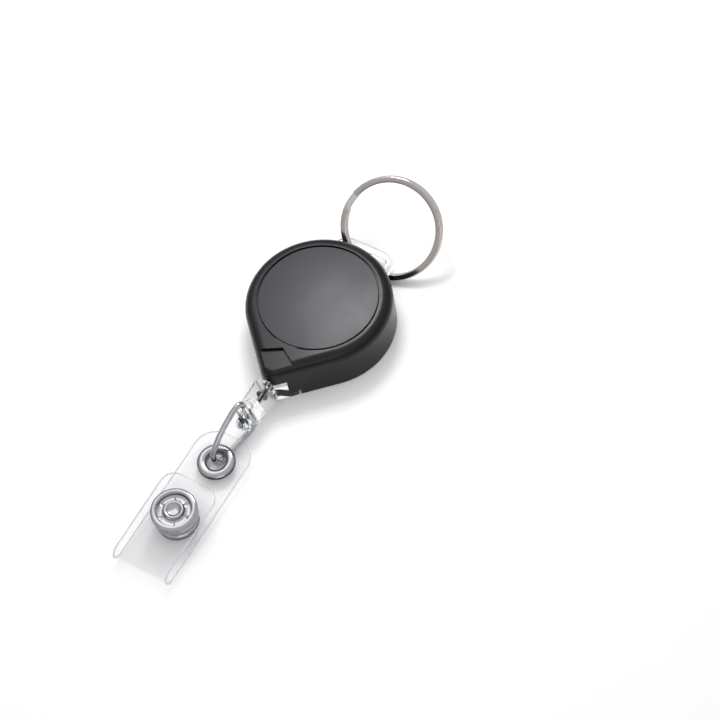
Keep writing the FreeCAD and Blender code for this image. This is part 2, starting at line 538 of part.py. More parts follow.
nodes = {
    "front_case": frontCase, "face_label": faceLabel, "back_plate": backPlate, "spool": spool,
    "spring_cover": springCover, "power_spring": powerSpring, "cord_winding": cordWinding, "cord_run": cordRun,
    "cord_lead": cordLead, "cord_knot": cordKnot, "end_fitting": endFitting, "wire_loop": wireLoop,
    "strap_main": strapMain, "strap_fold": strapFold, "strap_flap": strapFlap, "eyelet": eyelet,
    "eyelet_washer": eyeletWasher, "snap_post": snapPost, "snap_stud": snapStud, "snap_socket": snapSocket,
    "snap_cap": snapCap, "split_ring": splitRing,
}
for obj in doc.Objects:
    if "Invalid" in obj.State or "Error" in obj.State:
        raise RuntimeError(f"{obj.Name} failed: {obj.State}")
os.makedirs("parts", exist_ok=True)
for node, obj in nodes.items():
    obj.Label = node
    shape = obj.Shape
    if shape.isNull() or not shape.isValid() or not shape.Solids:
        raise RuntimeError(f"{node} has no valid solid")
    shape.exportStep(f"parts/{node}.step")
    limits = shape.BoundBox
    print(f"{node}: {len(shape.Solids)} solid, {shape.Volume:.1f} mm3, "
          f"x {limits.XMin:.1f}..{limits.XMax:.1f} y {limits.YMin:.1f}..{limits.YMax:.1f} z {limits.ZMin:.1f}..{limits.ZMax:.1f}")
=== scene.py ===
import bpy
import bmesh
import math
import numpy as np
from mathutils import Matrix, Vector


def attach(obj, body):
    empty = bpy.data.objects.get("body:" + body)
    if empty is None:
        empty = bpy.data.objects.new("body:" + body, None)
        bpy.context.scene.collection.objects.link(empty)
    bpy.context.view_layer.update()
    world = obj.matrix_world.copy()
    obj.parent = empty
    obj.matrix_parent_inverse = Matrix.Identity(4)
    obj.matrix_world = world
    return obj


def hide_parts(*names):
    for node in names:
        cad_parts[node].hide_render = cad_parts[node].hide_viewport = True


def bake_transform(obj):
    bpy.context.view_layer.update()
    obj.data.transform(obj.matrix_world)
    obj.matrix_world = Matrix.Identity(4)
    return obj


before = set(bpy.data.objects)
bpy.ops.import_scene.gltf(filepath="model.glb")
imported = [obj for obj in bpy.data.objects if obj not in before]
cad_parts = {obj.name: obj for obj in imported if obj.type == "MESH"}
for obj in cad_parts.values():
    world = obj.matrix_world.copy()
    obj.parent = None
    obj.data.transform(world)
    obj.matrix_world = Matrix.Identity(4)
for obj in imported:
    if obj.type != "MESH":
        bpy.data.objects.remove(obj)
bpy.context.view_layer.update()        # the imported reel: origin on its back face, +Z out of the face, cord towards -Y
mm = 0.001
print("stage: frame loaded,", len(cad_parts), "nodes")


# mesh helpers

def gridSurface(name, grid, wrapU=False, wrapV=False, sharp=40, uv=None):
    # quads between neighbouring points of a (u, v) grid; a wrapped direction joins its last row to its first,
    # and rows that shrink to one point are welded, so poles and seams are closed
    nu, nv = grid.shape[:2]
    index = np.arange(nu * nv).reshape(nu, nv)
    low = index if wrapU else index[:-1]
    high = np.roll(index, -1, 0) if wrapU else index[1:]
    here, there = (slice(None), np.roll(np.arange(nv), -1)) if wrapV else (slice(0, nv - 1), slice(1, nv))
    quads = np.stack([low[:, here], high[:, here], high[:, there], low[:, there]], -1).reshape(-1, 4)
    mesh = bpy.data.meshes.new(name)
    mesh.from_pydata(grid.reshape(-1, 3).tolist(), [], quads.tolist())
    if uv is None:
        alongU, alongV = np.meshgrid(np.linspace(0, 1, nu), np.linspace(0, 1, nv), indexing="ij")
        uv = np.stack([alongU, alongV], -1)
    layer = mesh.uv_layers.new(name="place")
    layer.data.foreach_set("uv", uv.reshape(-1, 2)[quads.reshape(-1)].astype(np.float32).ravel())
    obj = bpy.data.objects.new(name, mesh)
    bpy.context.scene.collection.objects.link(obj)
    work = bmesh.new()
    work.from_mesh(mesh)
    bmesh.ops.remove_doubles(work, verts=work.verts, dist=1e-7)
    bmesh.ops.dissolve_degenerate(work, edges=work.edges, dist=1e-8)
    bmesh.ops.recalc_face_normals(work, faces=work.faces)
    work.to_mesh(mesh)
    work.free()
    smooth(mesh, sharp)
    return obj


def smooth(mesh, sharp):
    mesh.polygons.foreach_set("use_smooth", np.ones(len(mesh.polygons), dtype=bool))
    mesh.set_sharp_from_angle(angle=math.radians(sharp))
    mesh.update()


def sweep(name, path, section, upHint, closedPath=False, sharp=40):
    # a section (k, 2) carried along a path (n, 3): the first section axis is the hint made square to the path,
    # the second is the path's direction crossed with it
    ahead = np.roll(path, -1, 0) - np.roll(path, 1, 0) if closedPath else np.gradient(path, axis=0)
    ahead = ahead / np.linalg.norm(ahead, axis=1)[:, None]
    hint = np.broadcast_to(np.asarray(upHint, float), path.shape)
    first = hint - ahead * (hint * ahead).sum(1)[:, None]
    first = first / np.linalg.norm(first, axis=1)[:, None]
    second = np.cross(ahead, first)
    section = np.broadcast_to(section, (len(path),) + section.shape[-2:])
    grid = (path[:, None] + first[:, None] * section[:, :, :1] + second[:, None] * section[:, :, 1:])
    if not closedPath:
        grid = np.concatenate([np.broadcast_to(path[:1, None], grid[:1].shape), grid,
                               np.broadcast_to(path[-1:, None], grid[:1].shape)])
    return gridSurface(name, grid, wrapU=closedPath, wrapV=True, sharp=sharp)


def roundSection(radius, count=12):
    # points evenly round a circle
    turn = np.arange(count) * 2 * math.pi / count
    return np.stack([np.cos(turn), np.sin(turn)], -1) * radius


def softBox(halfA, halfB, corner, perCorner=4):
    # a rectangle whose corners are quarter circles
    turn = np.linspace(0, math.pi / 2, perCorner)
    quarters = [np.stack([np.cos(turn + k * math.pi / 2), np.sin(turn + k * math.pi / 2)], -1) * corner
                + np.array([(halfA - corner) * (1 if k in (0, 3) else -1), (halfB - corner) * (1 if k < 2 else -1)])
                for k in range(4)]
    return np.concatenate(quarters)


def lathe(name, profile, centre, axisUp, across, count=72, ripple=None, sharp=32):
    # a profile of (radius, height) turned about an axis: point = centre + r*(cos, sin) in the turning plane + h*axis
    profile = np.asarray(profile, float)
    turn = np.arange(count) * 2 * math.pi / count
    up = np.asarray(axisUp, float) / np.linalg.norm(axisUp)
    first = np.asarray(across, float) - up * np.dot(across, up)
    first = first / np.linalg.norm(first)
    second = np.cross(up, first)
    radius = np.broadcast_to(profile[:, 0][:, None], (len(profile), count)).copy()
    height = np.broadcast_to(profile[:, 1][:, None], (len(profile), count)).copy()
    if ripple is not None:
        radius, height = ripple(radius, height, turn)
    grid = (np.asarray(centre, float) + radius[..., None] * (np.cos(turn)[None, :, None] * first
            + np.sin(turn)[None, :, None] * second) + height[..., None] * up)
    return gridSurface(name, grid, wrapV=True, sharp=sharp)


def eased(points, perSpan=5, cut=0.28):
    # a polyline whose corners are replaced by short quadratic curves, from cut before each corner to cut after it
    points = np.asarray(points, float)
    t = np.linspace(0, 1, perSpan)[:, None]
    rows = [points[:1]]
    for before, corner, after in zip(points[:-2], points[1:-1], points[2:]):
        start, end = corner + (before - corner) * cut, corner + (after - corner) * cut
        rows.append((1 - t) ** 2 * start + 2 * t * (1 - t) * corner + t ** 2 * end)
    return np.concatenate(rows + [points[-1:]])


# shader groups

def newGroup(name, inputs, outputs):
    group = bpy.data.node_groups.new(name, "ShaderNodeTree")
    for label, kind, value in inputs:
        socket = group.interface.new_socket(name=label, in_out="INPUT", socket_type=kind)
        if value is not None:
            socket.default_value = value
    for label, kind in outputs:
        group.interface.new_socket(name=label, in_out="OUTPUT", socket_type=kind)
    start, end = group.nodes.new("NodeGroupInput"), group.nodes.new("NodeGroupOutput")
    return group, start, end


def mathNode(tree, kind, a, b=None):
    node = tree.nodes.new("ShaderNodeMath")
    node.operation = kind
    for socket, value in zip(node.inputs, (a, b)):
        if value is None:
            continue
        if isinstance(value, (int, float)):
            socket.default_value = value
        else:
            tree.links.new(value, socket)
    return node.outputs[0]


def makeGrainGroup():
    # fine tooth as a height, and a slow cloud from 0 to 1 for uneven shade and gloss
    group, start, end = newGroup("mouldGrain", [("Grain Scale", "NodeSocketFloat", 3500.0),
                                                ("Cloud Scale", "NodeSocketFloat", 120.0)],
                                 [("Height", "NodeSocketFloat"), ("Cloud", "NodeSocketFloat")])
    coords = group.nodes.new("ShaderNodeTexCoord")
    fine, slow = group.nodes.new("ShaderNodeTexNoise"), group.nodes.new("ShaderNodeTexNoise")
    fine.inputs["Detail"].default_value = 2.0
    slow.inputs["Detail"].default_value = 3.0
    group.links.new(coords.outputs["Object"], fine.inputs["Vector"])
    group.links.new(coords.outputs["Object"], slow.inputs["Vector"])
    group.links.new(start.outputs["Grain Scale"], fine.inputs["Scale"])
    group.links.new(start.outputs["Cloud Scale"], slow.inputs["Scale"])
    group.links.new(fine.outputs["Fac"], end.inputs["Height"])
    group.links.new(slow.outputs["Fac"], end.inputs["Cloud"])
    return group


def makeScratchGroup():
    # long thin marks from noise stretched along one axis, as a height and a mask
    group, start, end = newGroup("drawMarks", [("Across", "NodeSocketVector", (9000.0, 300.0, 9000.0))],
                                 [("Height", "NodeSocketFloat"), ("Mask", "NodeSocketFloat")])
    coords, scale = group.nodes.new("ShaderNodeTexCoord"), group.nodes.new("ShaderNodeVectorMath")
    scale.operation = "MULTIPLY"
    marks, ramp = group.nodes.new("ShaderNodeTexNoise"), group.nodes.new("ShaderNodeMapRange")
    marks.inputs["Scale"].default_value = 1.0
    marks.inputs["Detail"].default_value = 3.0
    ramp.inputs["From Min"].default_value, ramp.inputs["From Max"].default_value = 0.52, 0.7
    group.links.new(coords.outputs["Object"], scale.inputs[0])
    group.links.new(start.outputs["Across"], scale.inputs[1])
    group.links.new(scale.outputs[0], marks.inputs["Vector"])
    group.links.new(marks.outputs["Fac"], end.inputs["Height"])
    group.links.new(marks.outputs["Fac"], ramp.inputs["Value"])
    group.links.new(ramp.outputs["Result"], end.inputs["Mask"])
    return group


def makeBraidGroup():
    # two crossing diagonal waves round the cord: sin(turn*strands + y*pitch) against its mirror
    group, start, end = newGroup("cordBraid", [("Strands", "NodeSocketFloat", 4.0),
                                               ("Pitch", "NodeSocketFloat", 9000.0),
                                               ("Centre Height", "NodeSocketFloat", 0.0054)],
                                 [("Height", "NodeSocketFloat")])
    coords, split = group.nodes.new("ShaderNodeTexCoord"), group.nodes.new("ShaderNodeSeparateXYZ")
    group.links.new(coords.outputs["Object"], split.inputs[0])
    rise = mathNode(group, "SUBTRACT", split.outputs["Z"], start.outputs["Centre Height"])
    turn = mathNode(group, "ARCTAN2", rise, split.outputs["X"])
    around = mathNode(group, "MULTIPLY", turn, start.outputs["Strands"])
    along = mathNode(group, "MULTIPLY", split.outputs["Y"], start.outputs["Pitch"])
    left = mathNode(group, "SINE", mathNode(group, "ADD", around, along))
    right = mathNode(group, "SINE", mathNode(group, "SUBTRACT", around, along))
    group.links.new(mathNode(group, "MAXIMUM", left, right), end.inputs["Height"])
    return group


grainGroup, marksGroup, braidGroup = makeGrainGroup(), makeScratchGroup(), makeBraidGroup()


# materials

def newMaterial(name, fixed):
    # fixed holds the shader's own socket values
    material = bpy.data.materials.new(name)
    material.use_nodes = True
    tree = material.node_tree
    shader = next(node for node in tree.nodes if node.type == "BSDF_PRINCIPLED")
    for socket, value in fixed.items():
        shader.inputs[socket].default_value = value
    return material, tree, shader


def placeGroup(tree, group, values):
    node = tree.nodes.new("ShaderNodeGroup")
    node.node_tree = group
    for socket, value in values.items():
        node.inputs[socket].default_value = value
    return node


def addBump(tree, shader, height, strength, distance):
    bump = tree.nodes.new("ShaderNodeBump")
    bump.inputs["Strength"].default_value = strength
    bump.inputs["Distance"].default_value = distance
    tree.links.new(height, bump.inputs["Height"])
    tree.links.new(bump.outputs["Normal"], shader.inputs["Normal"])


def addRange(tree, source, target, low, high, fromLow=0.3, fromHigh=0.7):
    ramp = tree.nodes.new("ShaderNodeMapRange")
    for label, value in (("From Min", fromLow), ("From Max", fromHigh), ("To Min", low), ("To Max", high)):
        ramp.inputs[label].default_value = value
    tree.links.new(source, ramp.inputs["Value"])
    tree.links.new(ramp.outputs["Result"], target)


def addTint(tree, source, shader, dark, light, fromLow=0.3, fromHigh=0.7):
    ramp = tree.nodes.new("ShaderNodeValToRGB")
    ramp.color_ramp.elements[0].position, ramp.color_ramp.elements[1].position = fromLow, fromHigh
    ramp.color_ramp.elements[0].color, ramp.color_ramp.elements[1].color = (*dark, 1), (*light, 1)
    tree.links.new(source, ramp.inputs["Fac"])
    tree.links.new(ramp.outputs["Color"], shader.inputs["Base Color"])


def mouldedPlastic(name, dark, light, rough, grainScale, grainDepth, fixed=None):
    material, tree, shader = newMaterial(name, fixed or {})
    grain = placeGroup(tree, grainGroup, {"Grain Scale": grainScale, "Cloud Scale": 140.0})
    addTint(tree, grain.outputs["Cloud"], shader, dark, light)
    addRange(tree, grain.outputs["Cloud"], shader.inputs["Roughness"], rough[0], rough[1])
    addBump(tree, shader, grain.outputs["Height"], 0.35, grainDepth)
    return material


def platedMetal(name, dark, light, rough, across):
    material, tree, shader = newMaterial(name, {"Metallic": 1.0})
    marks = placeGroup(tree, marksGroup, {"Across": across})
    addTint(tree, marks.outputs["Height"], shader, dark, light)
    addRange(tree, marks.outputs["Mask"], shader.inputs["Roughness"], rough[0], rough[1], 0, 1)
    addBump(tree, shader, marks.outputs["Height"], 0.06, 0.00001)
    return material


def clearMoulding(name, tint, rough, index):
    # solid clear plastic: constant transmission, slight flow marks in the surface
    material, tree, shader = newMaterial(name, {"Transmission Weight": 1.0, "IOR": index, "Base Color": (*tint, 1)})
    grain = placeGroup(tree, grainGroup, {"Grain Scale": 900.0, "Cloud Scale": 260.0})
    addRange(tree, grain.outputs["Cloud"], shader.inputs["Roughness"], rough[0], rough[1])
    addBump(tree, shader, grain.outputs["Height"], 0.15, 0.00003)
    return material


def vinylSheet(name, tint, clear, edge):
    # thin clear film: nearly see-through, with painted edge shade along its cut edges (alpha raised there to stand for
    # light bent at the edge), which the piece's own map marks
    material, tree, shader = newMaterial(name, {"Base Color": (*tint, 1), "IOR": 1.52})
    edgeMap = tree.nodes.new("ShaderNodeUVMap")
    edgeMap.uv_map = "place"
    split = tree.nodes.new("ShaderNodeSeparateXYZ")
    tree.links.new(edgeMap.outputs["UV"], split.inputs[0])
    ends = mathNode(tree, "ABSOLUTE", mathNode(tree, "SUBTRACT", split.outputs["X"], 0.5))
    endShadeBand = mathNode(tree, "MULTIPLY", mathNode(tree, "SUBTRACT", ends, 0.485), 60.0)
    sideShadeBand = mathNode(tree, "MULTIPLY", mathNode(tree, "SUBTRACT", split.outputs["Y"], 0.95), 22.0)
    paintedEdgeShade = mathNode(tree, "MAXIMUM", endShadeBand, sideShadeBand)
    # painted edge shade: alpha rises from clear to edge in narrow bands at the ends and the sides
    addRange(tree, paintedEdgeShade, shader.inputs["Alpha"], clear, edge, 0.0, 1.0)
    grain = placeGroup(tree, grainGroup, {"Grain Scale": 500.0, "Cloud Scale": 90.0})
    addRange(tree, grain.outputs["Cloud"], shader.inputs["Roughness"], 0.05, 0.16)
    addBump(tree, shader, grain.outputs["Cloud"], 0.25, 0.0004)
    return material


caseBlack = mouldedPlastic("caseBlack", (0.006, 0.006, 0.008), (0.009, 0.009, 0.011), (0.24, 0.31),
                           5200.0, 0.000006, {"Specular IOR Level": 0.22})
labelBlack = mouldedPlastic("labelBlack", (0.010, 0.010, 0.016), (0.013, 0.013, 0.020), (0.30, 0.36),
                            7000.0, 0.000004, {"Specular IOR Level": 0.30})
acetalWhite = mouldedPlastic("acetalWhite", (0.74, 0.74, 0.71), (0.82, 0.82, 0.80), (0.38, 0.48),
                             4200.0, 0.00001)
clearPlastic = clearMoulding("clearPlastic", (0.98, 0.99, 1.0), (0.01, 0.05), 1.49)
# 0.60: alpha of the painted edge shade along the strap's cut edges
clearVinyl = vinylSheet("clearVinyl", (0.56, 0.57, 0.60), 0.055, 0.60)
nickelPlate = platedMetal("nickelPlate", (0.31, 0.31, 0.33), (0.36, 0.36, 0.37),
                          (0.17, 0.23), (6500.0, 6500.0, 1500.0))
ringNickel = platedMetal("ringNickel", (0.44, 0.41, 0.40), (0.53, 0.49, 0.475),
                         (0.13, 0.20), (1500.0, 1500.0, 6000.0))
steelWire = platedMetal("steelWire", (0.30, 0.31, 0.33), (0.50, 0.51, 0.53),
                        (0.10, 0.22), (9000.0, 700.0, 700.0))
springSteel = platedMetal("springSteel", (0.20, 0.21, 0.24), (0.34, 0.35, 0.38),
                          (0.22, 0.36), (1200.0, 1200.0, 9000.0))


def braidedCord(name, strands, pitch):
    material, tree, shader = newMaterial(name, {"Roughness": 0.82, "Sheen Weight": 0.35, "Sheen Roughness": 0.5})
    braid = placeGroup(tree, braidGroup, {"Strands": strands, "Pitch": pitch, "Centre Height": 0.0054})
    # painted shade: the cord's colour is darker in the grooves between strands and lighter on their crowns, following
    # the braid height
    addTint(tree, braid.outputs["Height"], shader, (0.004, 0.004, 0.005), (0.022, 0.022, 0.025), 0.0, 1.0)
    addBump(tree, shader, braid.outputs["Height"], 0.7, 0.00006)
    return material


cordBlack = braidedCord("cordBlack", 4.0, 6500.0)

nodeFinish = {      # the nodes that are shown as they come; the others are replaced below
    "front_case": caseBlack, "back_plate": clearPlastic, "spool": acetalWhite, "spring_cover": acetalWhite,
    "power_spring": springSteel, "cord_run": cordBlack, "end_fitting": clearPlastic,
}
for nodeName, material in nodeFinish.items():
    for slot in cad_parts[nodeName].material_slots:
        slot.material = material
print("stage: materials,", len(bpy.data.materials))


def finish(obj, material, body, slotName, *nodes):
    obj.data.materials.append(material)
    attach(obj, body)
    if nodes:
        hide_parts(*nodes)
    return obj


# strap frame: the strap leans down from its near end, turned about X at the eyelet

lean = {"tilt": 2.6, "atY": -42.3, "atZ": 1.9, "x": -1.3}
leanTurn = math.radians(lean["tilt"])
leanUp = np.array([0.0, -math.sin(leanTurn), math.cos(leanTurn)])
leanAlong = np.array([0.0, math.cos(leanTurn), math.sin(leanTurn)])


def leaned(x, y, z):
    # strap coordinates in mm (x, distance along -Y, height) to the reel's frame in metres
    x, y, z = np.broadcast_arrays(np.asarray(x, float), np.asarray(y, float), np.asarray(z, float))
    flatY, flatZ = -y - lean["atY"], z - lean["atZ"]
    return np.stack([x, lean["atY"] + leanAlong[1] * flatY + leanUp[1] * flatZ,
                     lean["atZ"] + leanAlong[2] * flatY + leanUp[2] * flatZ], -1) * mm


# vinyl strap: one strip, folded at its far end

strap = {"halfWidth": 6.8, "thick": 0.5, "start": 35.4, "foldY": 70.4, "foldRadius": 1.75, "flapEnd": 49.8,
         "nearCorner": 5.0, "flapCorner": 3.2, "low": 1.9, "eyeletY": 42.3, "eyeletHole": 2.52, "snapY": 58.0,
         "snapHole": 1.52}


def strapStrip():
    # centre line: straight out, half a circle round the fold, straight back. Its half width shrinks at the ends as
    # the side of a quarter circle, and a flat rounded section is carried along it
    mid = strap["low"] + strap["thick"] / 2
    bend = strap["foldRadius"] + strap["thick"] / 2
    outRun = np.concatenate([strap["start"] + strap["nearCorner"] * (1 - np.cos(np.linspace(0, math.pi / 2, 14))),
                             np.linspace(strap["start"] + strap["nearCorner"], strap["foldY"], 46)[1:]])
    turn = np.linspace(0, math.pi, 26)[1:-1]
    closing = 1 - np.cos(np.linspace(math.pi / 2, 0, 12))[1:]
    backRun = np.concatenate([np.linspace(strap["foldY"], strap["flapEnd"] + strap["flapCorner"], 28),
                              strap["flapEnd"] + strap["flapCorner"] * closing])
    y = np.concatenate([outRun, strap["foldY"] + bend * np.sin(turn), backRun])
    z = np.concatenate([np.full(len(outRun), mid), mid + bend * (1 - np.cos(turn)),
                        np.full(len(backRun), mid + 2 * bend)])
    half = np.full(len(y), strap["halfWidth"])
    near, far = strap["nearCorner"], strap["flapCorner"]
    gap = np.clip(near - (outRun - strap["start"]), 0, near)
    half[:len(outRun)] = strap["halfWidth"] - near + np.sqrt(near ** 2 - gap ** 2)
    gap = np.clip(far - (backRun - strap["flapEnd"]), 0, far)
    half[-len(backRun):] = strap["halfWidth"] - far + np.sqrt(far ** 2 - gap ** 2)
    path = np.stack([np.zeros(len(y)), y, z], -1)
    ahead = np.gradient(path, axis=0)
    ahead /= np.linalg.norm(ahead, axis=1)[:, None]
    normal = np.stack([np.zeros(len(y)), -ahead[:, 2], ahead[:, 1]], -1)
    across = np.concatenate([np.linspace(-1, 1, 17), np.linspace(1, -1, 17)])
    side = np.concatenate([np.full(17, -1.0), np.full(17, 1.0)])
    x = lean["x"] + across[None] * half[:, None]
    skinY = path[:, 1, None] + side[None] * normal[:, 1, None] * strap["thick"] / 2
    skinZ = path[:, 2, None] + side[None] * normal[:, 2, None] * strap["thick"] / 2
    grid = leaned(x, skinY, skinZ)
    centre = leaned(np.full((len(y), 1), lean["x"]), path[:, 1, None], path[:, 2, None])
    grid = np.concatenate([np.repeat(centre[:1], grid.shape[1], 1), grid, np.repeat(centre[-1:], grid.shape[1], 1)])
    alongU = np.broadcast_to(np.linspace(0, 1, len(grid))[:, None], grid.shape[:2])
    edgeV = np.broadcast_to(np.abs(across)[None], grid.shape[:2])
    return gridSurface("vinylStrap", grid, wrapV=True, sharp=50, uv=np.stack([alongU, edgeV], -1))


def punch(obj, centre, radius, height):
    # cuts a round hole through a piece, square to the strap
    cutter = lathe("punchTool", [(0, -height), (radius, -height), (radius, height), (0, height)], centre, leanUp,
                   (1, 0, 0), 48)
    hole = obj.modifiers.new("hole", "BOOLEAN")
    hole.object, hole.operation, hole.solver = cutter, "DIFFERENCE", "EXACT"
    bpy.context.view_layer.update()
    cutMesh = bpy.data.meshes.new_from_object(obj.evaluated_get(bpy.context.evaluated_depsgraph_get()))
    obj.modifiers.clear()
    obj.data = cutMesh
    bpy.data.objects.remove(cutter)
    smooth(cutMesh, 50)


vinylStrap = strapStrip()
lowMid = strap["low"] + strap["thick"] / 2
highMid = lowMid + 2 * strap["foldRadius"] + strap["thick"]
punch(vinylStrap, leaned(lean["x"], strap["eyeletY"], lowMid), strap["eyeletHole"] * mm, 1.2 * mm)
punch(vinylStrap, leaned(lean["x"], strap["snapY"], lowMid), strap["snapHole"] * mm, 1.0 * mm)
punch(vinylStrap, leaned(lean["x"], strap["snapY"], highMid), strap["snapHole"] * mm, 1.0 * mm)
vinylStrap.data.materials.append(clearVinyl)
tuple(leaned(lean["x"], strap["foldY"], lowMid).tolist())
tuple(leaned(lean["x"], strap["foldY"], highMid).tolist())
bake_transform(vinylStrap)
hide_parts("strap_main", "strap_fold", "strap_flap")
print("stage: strap,", len(vinylStrap.data.polygons), "faces")


# label disc: a low dome with a chamfered rim, sunk in the face's recess

label = {"radius": 13.5, "top": 10.87, "bottom": 10.66, "dome": 0.20, "chamfer": 0.14}
outwards = np.linspace(0, label["radius"] - label["chamfer"], 22)
domeLine = np.stack([outwards, label["top"] + label["dome"] * (1 - (outwards / outwards[-1]) ** 2)], -1)
labelLine = np.concatenate([[(0, label["bottom"]), (label["radius"], label["bottom"]),
                             (label["radius"], label["top"] - label["chamfer"])], domeLine[::-1]]) * mm
finish(lathe("labelDisc", labelLine, (0, 0, 0), (0, 0, 1), (1, 0, 0), 144), labelBlack, "case", "label_black",
       "face_label")


# wire loop: round wire through the barrel, its upper leg bowed outwards

wire = {"radius": 0.65, "top": 4.7, "bottom": -4.2, "barrelY": 30.4, "height": 5.4, "roll": 15.0, "swing": 12.0}


def wirePath():
    # a closed chain of bends in the loop's own plane (distance from the barrel, height), each corner a short
    # curve; then turned by the hook's swing about the barrel and by the fitting's roll about the cord
    corners = np.array([(0, 0), (0, wire["top"] - 0.25), (2.1, wire["top"] - 0.1), (7.6, 2.35), (11.05, -0.1),
                        (12.1, -1.35), (12.05, wire["bottom"] + 0.15), (9.0, wire["bottom"]),
                        (0.9, wire["bottom"]), (0, wire["bottom"] + 0.9), (0, 0)])
    plane = eased(corners, 9, 0.45)
    keep = np.concatenate([[True], np.linalg.norm(np.diff(plane, axis=0), axis=1) > 1e-6])
    plane = plane[keep][:-1]
    roll, swing = -math.radians(wire["roll"]), -math.radians(wire["swing"])
    flat = np.stack([np.zeros(len(plane)), -plane[:, 0], plane[:, 1]], -1)
    spin = np.array([[math.cos(swing), -math.sin(swing), 0], [math.sin(swing), math.cos(swing), 0], [0, 0, 1]])
    tip = np.array([[math.cos(roll), 0, math.sin(roll)], [0, 1, 0], [-math.sin(roll), 0, math.cos(roll)]])
    turned = flat @ (tip @ spin).T
    return (turned + np.array([0, -wire["barrelY"], wire["height"]])) * mm, tip @ spin @ np.array([1.0, 0, 0])


wireLine, wireSide = wirePath()
finish(sweep("wireLoop", wireLine, roundSection(wire["radius"] * mm, 18), wireSide, closedPath=True, sharp=80),
       steelWire, "hook", "steel_wire", "wire_loop")


# eyelet: rolled crown and tube in one, and the flared washer under the strap

eyeletSizes = {"bore": 2.15, "tube": 0.35, "flange": 4.25, "crown": 0.6, "washer": 0.35, "y": 42.3}


def strapTurned(name, profile, y, count=72, ripple=None, sharp=32):
    # a profile in mm (radius, height in the strap's frame) turned about a line square to the strap
    flat = np.asarray(profile, float)
    closed = np.concatenate([flat, flat[:1]]) if flat[0, 0] > 0 or flat[-1, 0] > 0 else flat
    return lathe(name, closed * mm, leaned(lean["x"], y, 0.0), leanUp, (1, 0, 0), count, ripple, sharp)


under, top = strap["low"], strap["low"] + strap["thick"]       # the strap's two faces
bore, tubeOut = eyeletSizes["bore"], eyeletSizes["bore"] + eyeletSizes["tube"]
flange, crown, washer = eyeletSizes["flange"], eyeletSizes["crown"], eyeletSizes["washer"]
crownLine = [(bore, under - washer - 0.1), (tubeOut, under - washer - 0.1), (tubeOut, top),
             (flange - 0.12, top), (flange, top + 0.14), (flange - 0.22, top + crown * 0.62),
             (flange - 0.62, top + crown * 0.93), (flange - 1.05, top + crown),
             (bore + 0.62, top + crown * 0.93), (bore + 0.2, top + crown * 0.6), (bore, top + crown * 0.2)]
finish(strapTurned("eyeletCrown", crownLine, eyeletSizes["y"]), nickelPlate, "strap", "nickel", "eyelet")
washerLine = [(tubeOut + 0.02, under - washer), (flange - 0.5, under - washer),
              (flange - 0.12, under - washer * 0.5), (flange, under - 0.02), (tubeOut + 0.02, under - 0.02)]
finish(strapTurned("eyeletUnder", washerLine, eyeletSizes["y"]), nickelPlate, "strap", "nickel", "eyelet_washer")


# snap: post, stud, socket and cap

snap = {"y": 58.0, "cap": 5.2, "stud": 4.7, "socket": 5.0, "post": 1.5, "seat": 0.7, "head": 1.9,
        "slots": 6, "slotDepth": 0.3}
flapLow = top + 2 * strap["foldRadius"]
flapHigh = flapLow + strap["thick"]
socketLow = top + snap["seat"] + 0.75


def capSlots(radius, height, turn):
    # six short slots sunk in the floor between the dome ring and the rim:
    # depth * (a cosine comb sharpened by a power)
    comb = np.clip(np.cos(snap["slots"] * turn), 0, 1)[None] ** 16
    inFloor = np.exp(-((radius - 2.95 * mm) / (0.38 * mm)) ** 4) * (height > (flapHigh + 0.05) * mm)
    return radius, height - snap["slotDepth"] * mm * comb * inFloor * 0.7


def rimFlutes(radius, height, turn):
    # shallow presses round the socket's waist: radius * (1 - small cosine) where the wall is widest
    outer = np.clip((radius - 4.3 * mm) / (0.5 * mm), 0, 1)
    return radius * (1 - 0.012 * outer * (0.5 + 0.5 * np.cos(24 * turn))[None]), height


capEdge = snap["cap"]
capLine = [(0, flapLow - 0.35), (snap["post"], flapLow - 0.35), (snap["post"], flapHigh),
           (capEdge - 0.15, flapHigh), (capEdge, flapHigh + 0.14), (capEdge, flapHigh + 0.42),
           (capEdge - 0.13, flapHigh + 0.7), (capEdge - 0.42, flapHigh + 0.88),
           (capEdge - 0.85, flapHigh + 0.9), (capEdge - 1.2, flapHigh + 0.82), (capEdge - 1.4, flapHigh + 0.45),
           (capEdge - 1.5, flapHigh + 0.2), (3.3, flapHigh + 0.12), (2.95, flapHigh + 0.12),
           (2.7, flapHigh + 0.12), (2.42, flapHigh + 0.22), (2.28, flapHigh + 0.6), (2.1, flapHigh + 0.78),
           (1.85, flapHigh + 0.82), (1.6, flapHigh + 0.76), (1.4, flapHigh + 0.56), (1.15, flapHigh + 0.46),
           (0, flapHigh + 0.43)]
finish(strapTurned("snapCap", capLine, snap["y"], 120, capSlots), nickelPlate, "flap", "nickel", "snap_cap")
socketEdge = snap["socket"]
socketLine = [(snap["head"] + 0.2, socketLow), (socketEdge - 0.4, socketLow),
              (socketEdge - 0.1, socketLow + 0.1), (socketEdge, socketLow + 0.3),
              (socketEdge - 0.1, socketLow + 0.5), (socketEdge - 0.35, socketLow + 0.75),
              (socketEdge - 0.12, socketLow + 0.98), (socketEdge, socketLow + 1.2),
              (socketEdge - 0.1, socketLow + 1.5), (socketEdge - 0.25, flapLow - 0.02),
              (snap["post"] + 0.04, flapLow - 0.02), (snap["post"] + 0.04, socketLow + 1.7),
              (snap["head"] + 0.2, socketLow + 1.5)]
finish(strapTurned("snapSocket", socketLine, snap["y"], 96, rimFlutes), nickelPlate, "flap", "nickel", "snap_socket")
studEdge, head = snap["stud"], snap["head"]
